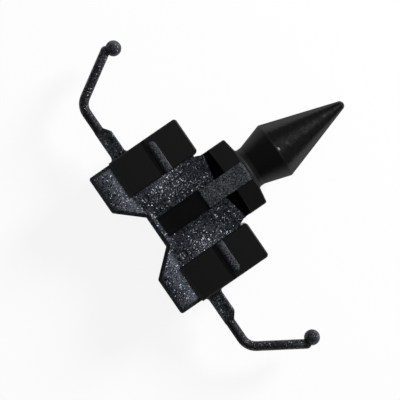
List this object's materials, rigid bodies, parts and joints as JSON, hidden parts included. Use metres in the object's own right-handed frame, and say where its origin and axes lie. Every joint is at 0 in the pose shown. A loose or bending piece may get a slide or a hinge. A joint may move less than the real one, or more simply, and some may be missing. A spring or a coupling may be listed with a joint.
{
  "type": "car trim clip",
  "caption": "Moulded plastic clip with a cone-shaped snap dart, a flat body with beaded side blocks, and bent spring arms ending in balls, to hold a car's trim strip on its body panel.",
  "frame": {"origin": "on the snap dart's axis, in the plane of the collar's front face, where the clip bears on the panel", "axes": "+X along the dart towards its tip, +Y across the clip from one spring arm to the other, +Z out of the clip's upper face as it lies"},
  "size_m": [0.0348, 0.0506, 0.0082],
  "materials": {
    "black_plastic": "moulded, eroded plate faces and smooth dart"
  },
  "bodies": {
    "root": {"trim_clip": "black_plastic"}
  },
  "joints": []
}
